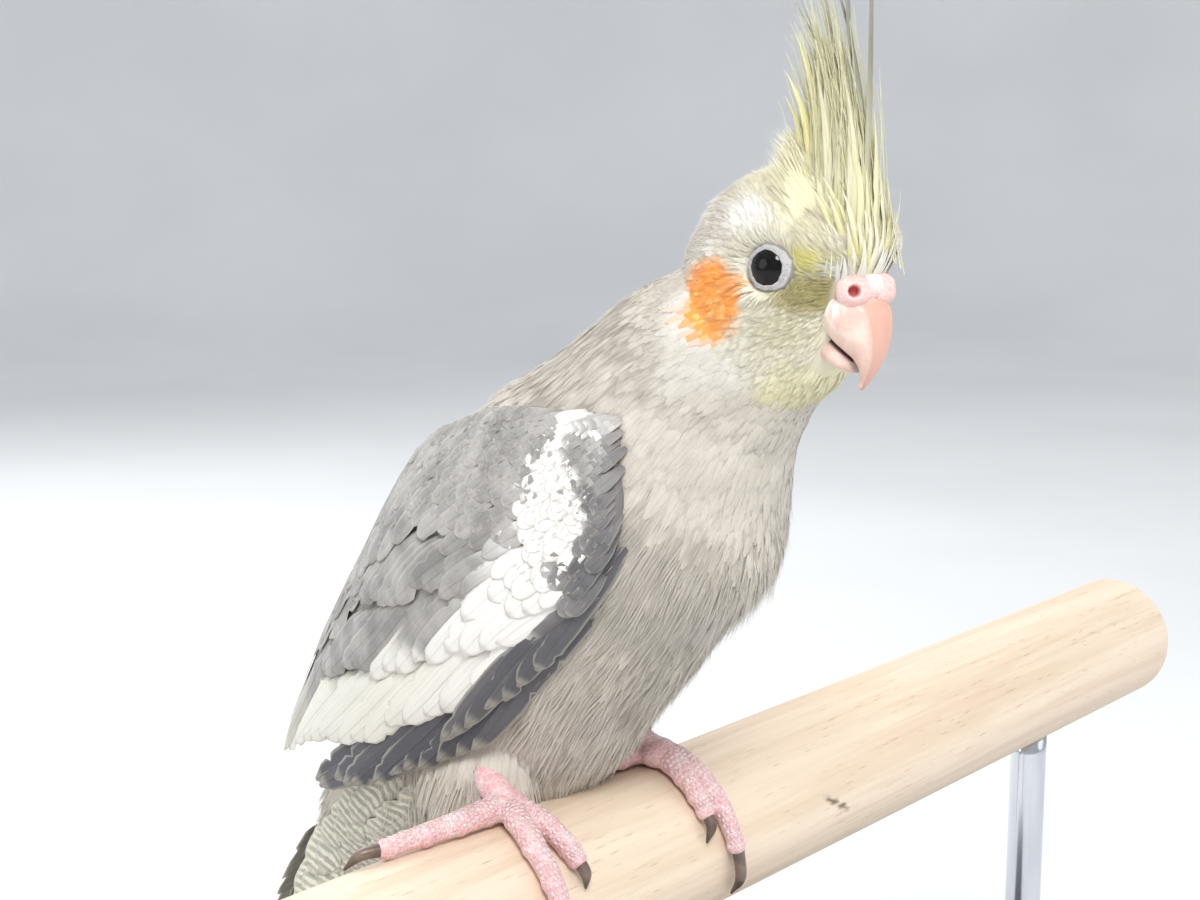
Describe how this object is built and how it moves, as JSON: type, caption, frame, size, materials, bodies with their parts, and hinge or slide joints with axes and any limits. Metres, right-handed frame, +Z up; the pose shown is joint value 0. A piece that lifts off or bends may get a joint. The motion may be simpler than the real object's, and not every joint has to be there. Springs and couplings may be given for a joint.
{
  "type": "cockatiel",
  "caption": "Still, life-size cockatiel with raised crest, gripping a short cut length of dowel perch on a flat display stand.",
  "frame": {"origin": "middle of the underside of the stand's base", "axes": "+X along the perch towards the bird's left, the bird faces -Y, +Z up"},
  "size_m": [0.3, 0.1789, 0.2914],
  "materials": {
    "plumage_body": "soft matt warm grey feathers with pale streaks",
    "plumage_head": "fine matt pale yellow and grey feathers with an orange cheek patch",
    "plumage_wing": "smooth satin grey flight feathers with white and cream patches and pale edges",
    "plumage_tail": "satin grey and cream barred long feathers",
    "plumage_crest": "wispy matt pale yellow feathers with grey tips",
    "eye": "wet gloss black-brown",
    "bill_horn": "smooth satin flesh-pink horn",
    "cere_skin": "fine pink skin",
    "foot_skin": "scaly pink skin",
    "claw_horn": "smooth dark grey-brown horn",
    "beech": "pale planed dowel with fine flecks",
    "chrome": "bright polished",
    "base_paint": "fine matt dark grey paint"
  },
  "bodies": {
    "root": {"torso": "plumage_body", "neck": "plumage_body", "head": "plumage_head", "crest": "plumage_crest", "bill_upper": "bill_horn", "bill_lower": "bill_horn", "cere": "cere_skin", "eye_right": "eye", "eye_left": "eye", "thigh_right": "plumage_body", "thigh_left": "plumage_body", "foot_right": "foot_skin", "foot_left": "foot_skin", "claw_right_inner_front": "claw_horn", "claw_right_outer_front": "claw_horn", "claw_right_outer_back": "claw_horn", "claw_right_inner_back": "claw_horn", "claw_left_inner_front": "claw_horn", "claw_left_outer_front": "claw_horn", "claw_left_inner_back": "claw_horn", "claw_left_outer_back": "claw_horn", "wing_right": "plumage_wing", "wing_left": "plumage_wing", "tail": "plumage_tail", "perch": "beech", "stand_base": "base_paint", "stand_rod_right": "chrome", "stand_rod_left": "chrome"}
  },
  "joints": []
}
